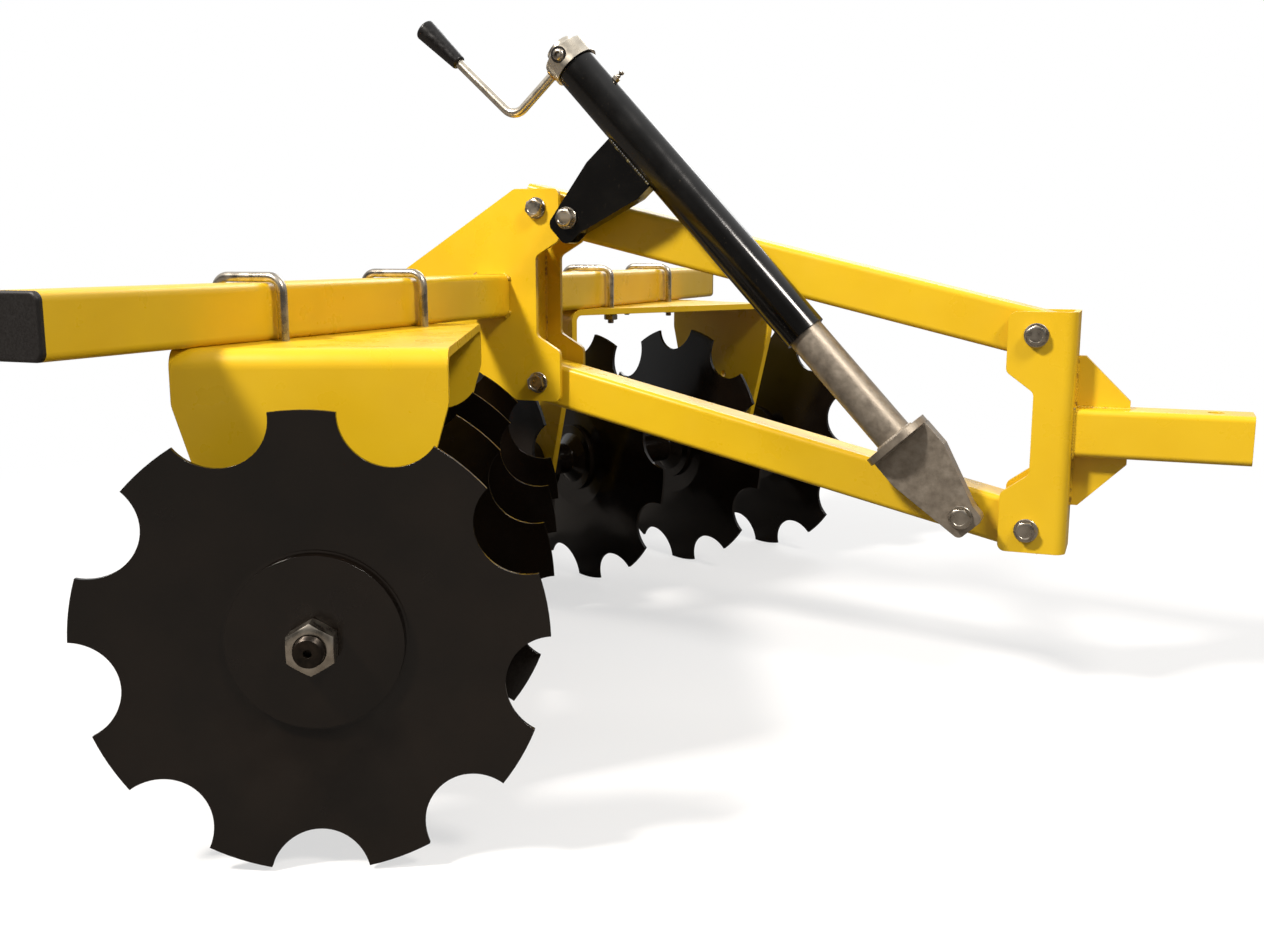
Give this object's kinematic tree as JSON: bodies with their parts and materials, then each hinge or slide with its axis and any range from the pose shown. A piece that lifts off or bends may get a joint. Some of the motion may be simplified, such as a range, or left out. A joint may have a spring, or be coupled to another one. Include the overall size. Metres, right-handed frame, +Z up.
{
  "type": "disc harrow",
  "caption": "Towed disc harrow for a quad bike: angled gangs of notched discs under a cross tube, carried by parallel links that a hand-cranked screw jack raises and lowers.",
  "frame": {"origin": "on the ground under the middle of the whole machine", "axes": "+X the way it is towed, +Y its left side, +Z up"},
  "size_m": [1.1144, 1.483, 0.7453],
  "materials": {
    "yellow_paint": "yellow powder coat on steel",
    "disc_enamel": "glossy brown-black enamel on steel",
    "black_paint": "glossy black paint on steel",
    "galvanised_steel": "mottled hot-dip galvanised steel",
    "zinc_plate": "zinc-plated steel",
    "bright_steel": "bright plated steel",
    "dark_steel": "dark oiled steel",
    "cap_plastic": "matt black plastic",
    "grip_plastic": "black moulded plastic"
  },
  "bodies": {
    "frame": {"cross_tube": "yellow_paint", "left_gang_bracket": "yellow_paint", "left_inner_bearing": "disc_enamel", "left_inner_u_bolt": "zinc_plate", "left_outer_bearing": "disc_enamel", "left_outer_u_bolt": "zinc_plate", "mast_plate_left": "yellow_paint", "mast_plate_right": "yellow_paint", "mast_web": "yellow_paint", "rear_lower_bolt": "zinc_plate", "rear_upper_bolt": "zinc_plate", "right_gang_bracket": "yellow_paint", "right_inner_bearing": "disc_enamel", "right_inner_u_bolt": "zinc_plate", "right_outer_bearing": "disc_enamel", "right_outer_u_bolt": "zinc_plate", "tube_cap_left": "cap_plastic", "tube_cap_right": "cap_plastic"},
    "right_gang": {"right_disc_1": "disc_enamel", "right_disc_2": "disc_enamel", "right_disc_3": "disc_enamel", "right_disc_4": "disc_enamel", "right_gang_nut": "zinc_plate", "right_gang_shaft": "dark_steel", "right_inner_end_plate": "disc_enamel", "right_inner_spool": "disc_enamel", "right_middle_spool": "disc_enamel", "right_outer_end_plate": "disc_enamel", "right_outer_spool": "disc_enamel"},
    "left_gang": {"left_disc_1": "disc_enamel", "left_disc_2": "disc_enamel", "left_disc_3": "disc_enamel", "left_disc_4": "disc_enamel", "left_gang_nut": "zinc_plate", "left_gang_shaft": "dark_steel", "left_inner_end_plate": "disc_enamel", "left_inner_spool": "disc_enamel", "left_middle_spool": "disc_enamel", "left_outer_end_plate": "disc_enamel", "left_outer_spool": "disc_enamel"},
    "lower_link": {"lower_link": "yellow_paint"},
    "upper_link": {"jack_upper_bolt": "zinc_plate", "upper_link": "yellow_paint"},
    "hitch": {"drawbar": "yellow_paint", "front_lower_bolt": "zinc_plate", "front_upper_bolt": "zinc_plate", "hitch_bracket": "yellow_paint", "hitch_gusset_lower": "yellow_paint", "hitch_gusset_upper": "yellow_paint"},
    "jack_barrel": {"jack_barrel": "black_paint", "jack_lug": "black_paint"},
    "jack_ram": {"jack_fork": "galvanised_steel", "jack_lower_bolt": "zinc_plate", "jack_ram": "galvanised_steel"},
    "crank": {"crank": "bright_steel", "crank_grip": "grip_plastic"}
  },
  "joints": [
    {"name": "right_gang_turn", "type": "hinge", "parent": "frame", "child": "right_gang", "pos_m": [-0.23853, -0.382, 0.1825], "axis": [0.4163, -0.9092, 0], "continuous": true},
    {"name": "left_gang_turn", "type": "hinge", "parent": "frame", "child": "left_gang", "pos_m": [-0.26053, 0.374, 0.1825], "axis": [0.4924, 0.8704, 0], "continuous": true},
    {"name": "lift", "type": "hinge", "parent": "frame", "child": "lower_link", "pos_m": [-0.22153, 0, 0.3257], "axis": [0, -1, 0], "range_deg": [-16.6, 13.3]},
    {"name": "upper_link_swing", "type": "hinge", "parent": "frame", "child": "upper_link", "pos_m": [-0.22153, 0, 0.5307], "axis": [0, -1, 0], "range_deg": [-17.1, 13.8]},
    {"name": "hitch_level", "type": "hinge", "parent": "lower_link", "child": "hitch", "pos_m": [0.34725, 0, 0.19062], "axis": [0, -1, 0], "range_deg": [-13.8, 17.1]},
    {"name": "jack_swing", "type": "hinge", "parent": "upper_link", "child": "jack_barrel", "pos_m": [-0.16753, -0.057, 0.51788], "axis": [0, -1, 0], "range_deg": [-4.27, 5.2]},
    {"name": "jack_extend", "type": "slide", "parent": "jack_barrel", "child": "jack_ram", "axis": [-0.6795, 0, 0.7337], "range_m": [-0.0501, 0.0403]},
    {"name": "crank_turn", "type": "hinge", "parent": "jack_barrel", "child": "crank", "pos_m": [-0.15824, -0.057, 0.68268], "axis": [-0.6795, 0, 0.7337], "continuous": true}
  ],
  "couplings": [
    {"joint": "upper_link_swing", "follows": "lift", "ratio": 1},
    {"joint": "hitch_level", "follows": "lift", "ratio": -1},
    {"joint": "jack_swing", "follows": "lift", "ratio": -0.2834},
    {"joint": "jack_extend", "follows": "lift", "m_per_rad": 0.16938}
  ]
}
